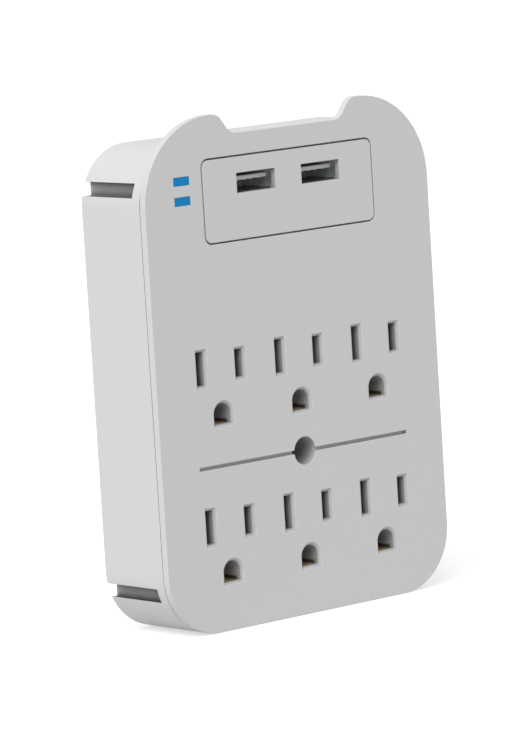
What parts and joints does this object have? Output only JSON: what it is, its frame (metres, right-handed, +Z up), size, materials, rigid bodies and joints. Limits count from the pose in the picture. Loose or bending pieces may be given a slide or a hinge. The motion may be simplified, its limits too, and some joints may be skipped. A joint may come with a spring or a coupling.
{
  "type": "plug-in surge protector",
  "caption": "Wall-tap surge protector: a rounded white case with earthed outlets, USB charging ports, indicator windows and a phone ledge, plug blades and a captive screw at its back.",
  "frame": {"origin": "on the mounting screw's axis, in the plane where the back of the case meets the wall plate", "axes": "+Z up, +Y from the front into the wall, +X to the right as seen from the front"},
  "size_m": [0.0944, 0.0452, 0.1285],
  "materials": {
    "face_plastic": "satin moulded, white",
    "housing_plastic": "satin moulded, white",
    "panel_plastic": "satin moulded, white",
    "lens_plastic": "clear tinted, blue",
    "lamp_resin": "clear resin",
    "bar_brass": "stamped",
    "blade_brass": "drawn, smooth",
    "insulator_plastic": "moulded, off-white",
    "screw_steel": "zinc plated",
    "washer_fibre": "pressed fibre, dark red",
    "case_screw_steel": "zinc plated",
    "port_shell_steel": "tinned sheet",
    "tongue_plastic": "moulded, white",
    "contact_brass": "gold flashed",
    "board_laminate": "green solder mask",
    "surge_laminate": "bare paper laminate",
    "core_ferrite": "sintered, dark",
    "coil_tape": "wrapped tape, yellow",
    "can_sleeve": "shrunk sleeve, dark",
    "chip_resin": "moulded, black",
    "varistor_coating": "dipped epoxy, blue",
    "fuse_case": "drawn can",
    "film_case": "moulded box, yellow",
    "strap_brass": "bent sheet",
    "wire_green": "extruded, green",
    "pin_tin": "tinned"
  },
  "bodies": {
    "case": {"front_cover": "face_plastic", "rear_housing": "housing_plastic", "usb_panel": "panel_plastic", "power_lens": "lens_plastic", "surge_lens": "lens_plastic", "power_lamp": "lamp_resin", "surge_lamp": "lamp_resin", "hot_bus": "bar_brass", "neutral_bus": "bar_brass", "ground_bus": "bar_brass", "bus_insulator": "insulator_plastic", "upper_hot_blade": "blade_brass", "upper_neutral_blade": "blade_brass", "upper_ground_pin": "blade_brass", "lower_hot_blade": "blade_brass", "lower_neutral_blade": "blade_brass", "lower_ground_pin": "blade_brass", "case_screws": "case_screw_steel", "usb_shell_left": "port_shell_steel", "usb_shell_right": "port_shell_steel", "usb_tongue_left": "tongue_plastic", "usb_tongue_right": "tongue_plastic", "usb_contacts": "contact_brass", "usb_board": "board_laminate", "transformer_core": "core_ferrite", "transformer_coil": "coil_tape", "input_capacitor": "can_sleeve", "output_capacitors": "can_sleeve", "charger_chip": "chip_resin", "surge_board": "surge_laminate", "varistors": "varistor_coating", "thermal_fuse": "fuse_case", "line_capacitor": "film_case", "line_strap": "strap_brass", "neutral_strap": "strap_brass", "earth_wire": "wire_green", "usb_supply_pins": "pin_tin"},
    "washer": {"retaining_washer": "washer_fibre"},
    "screw": {"mounting_screw": "screw_steel"}
  },
  "joints": [
    {"name": "screw_slide", "type": "slide", "parent": "case", "child": "washer", "axis": [0, -1, 0], "range_m": [0, 0.0044]},
    {"name": "screw_turn", "type": "hinge", "parent": "washer", "child": "screw", "pos_m": [0, 0, 0], "axis": [0, 1, 0], "continuous": true}
  ]
}
